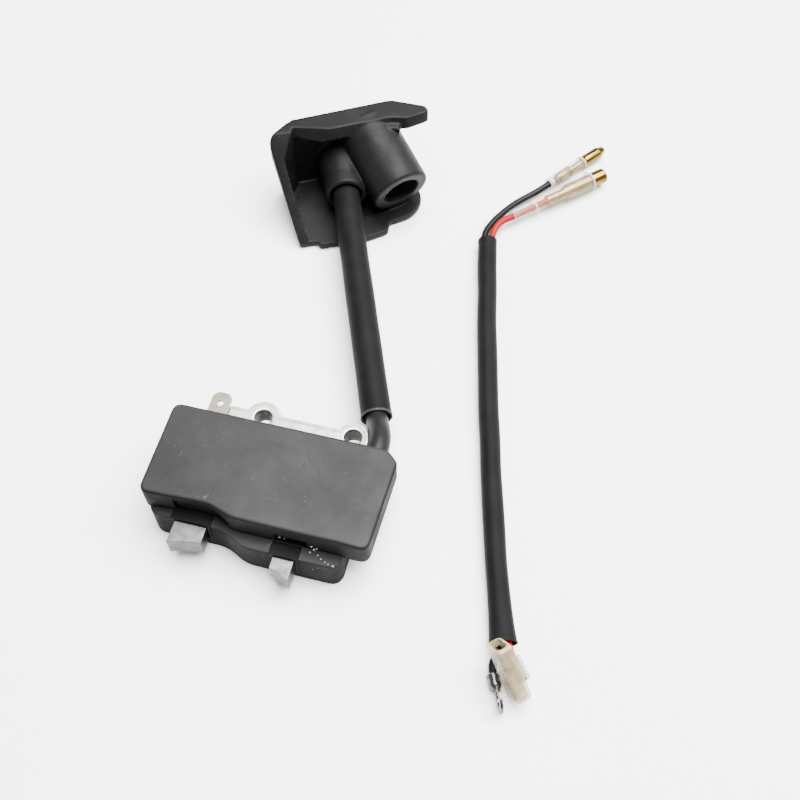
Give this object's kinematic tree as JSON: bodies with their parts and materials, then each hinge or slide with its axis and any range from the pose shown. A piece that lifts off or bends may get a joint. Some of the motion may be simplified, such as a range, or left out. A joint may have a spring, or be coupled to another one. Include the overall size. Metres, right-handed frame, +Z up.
{
  "type": "ignition coil",
  "caption": "Small-engine ignition coil: laminated core with fixing ears, moulded case, sleeved plug lead with shrouded plug boot, and a detachable two-wire stop lead.",
  "frame": {"origin": "bottom centre of the box round the coil, its plug lead and its boot, on the surface they lie on", "axes": "+Z up from that surface; +Y from the coil's pole faces towards the plug boot; +X along the coil's case towards the plug lead's outlet"},
  "size_m": [0.1255, 0.2191, 0.03],
  "materials": {
    "core_steel": "bare laminated steel, satin",
    "collar_plastic": "moulded, satin",
    "case_plastic": "glass-filled nylon, satin with fine scuffs",
    "resin": "poured epoxy",
    "bobbin_plastic": "moulded, natural",
    "enamelled_copper": "enamelled copper wire",
    "bare_copper": "bare stranded copper",
    "board_laminate": "solder-masked laminate",
    "component_epoxy": "moulded epoxy",
    "film_capacitor": "dipped coating",
    "tinned_steel": "tin plated",
    "tinned_brass": "tinned, dulled",
    "lead_insulation": "extruded, satin",
    "sleeve_fabric": "coated braid, matt",
    "boot_rubber": "moulded, satin with dust",
    "spring_steel": "bright spring wire",
    "woven_sleeving": "woven glass fibre, varnished",
    "black_pvc": "extruded",
    "red_pvc": "extruded",
    "bullet_brass": "bright brass",
    "clear_vinyl": "translucent, milky",
    "yellowed_vinyl": "translucent, yellowed"
  },
  "bodies": {
    "coil": {"laminated_core": "core_steel", "left_leg_collar": "collar_plastic", "right_leg_collar": "collar_plastic", "coil_case": "case_plastic", "potting_resin": "resin", "primary_bobbin": "bobbin_plastic", "primary_winding": "enamelled_copper", "secondary_bobbin": "bobbin_plastic", "secondary_winding_1": "enamelled_copper", "secondary_winding_2": "enamelled_copper", "secondary_winding_3": "enamelled_copper", "secondary_winding_4": "enamelled_copper", "circuit_board": "board_laminate", "switching_transistor": "component_epoxy", "trigger_capacitor": "film_capacitor", "gate_resistor": "component_epoxy", "clamp_diode": "component_epoxy", "stop_tab": "tinned_steel", "earth_strap": "tinned_steel", "high_tension_pin": "tinned_steel", "high_tension_lead": "lead_insulation", "lead_conductor": "bare_copper"},
    "sleeve": {"lead_sleeve": "sleeve_fabric"},
    "boot": {"plug_boot": "boot_rubber", "plug_contact_spring": "spring_steel"},
    "stop_lead": {"stop_lead_sleeving": "woven_sleeving", "black_wire": "black_pvc", "red_wire": "red_pvc", "male_bullet": "bullet_brass", "female_bullet": "bullet_brass", "ring_terminal": "tinned_steel", "flag_cover": "yellowed_vinyl", "flag_receptacle": "tinned_brass"},
    "male_cover": {"male_bullet_cover": "clear_vinyl"},
    "female_cover": {"female_bullet_cover": "clear_vinyl"}
  },
  "joints": [
    {"name": "sleeve_slide", "type": "slide", "parent": "coil", "child": "sleeve", "axis": [-0.3681, 0.9298, 0], "range_m": [0, 0.005]},
    {"name": "boot_turn", "type": "hinge", "parent": "coil", "child": "boot", "pos_m": [-0.01191, 0.06433, 0.011], "axis": [-0.3681, 0.9298, 0], "range_deg": [-20, 20]},
    {"name": "stop_lead_lift", "type": "slide", "parent": "coil", "child": "stop_lead", "axis": [0, 0, 1], "range_m": [0, 0.06]},
    {"name": "male_cover_slide", "type": "slide", "parent": "stop_lead", "child": "male_cover", "axis": [-0.6, -0.8, 0], "range_m": [0, 0.005]},
    {"name": "female_cover_slide", "type": "slide", "parent": "stop_lead", "child": "female_cover", "axis": [-0.7151, -0.699, 0], "range_m": [0, 0.003]}
  ]
}
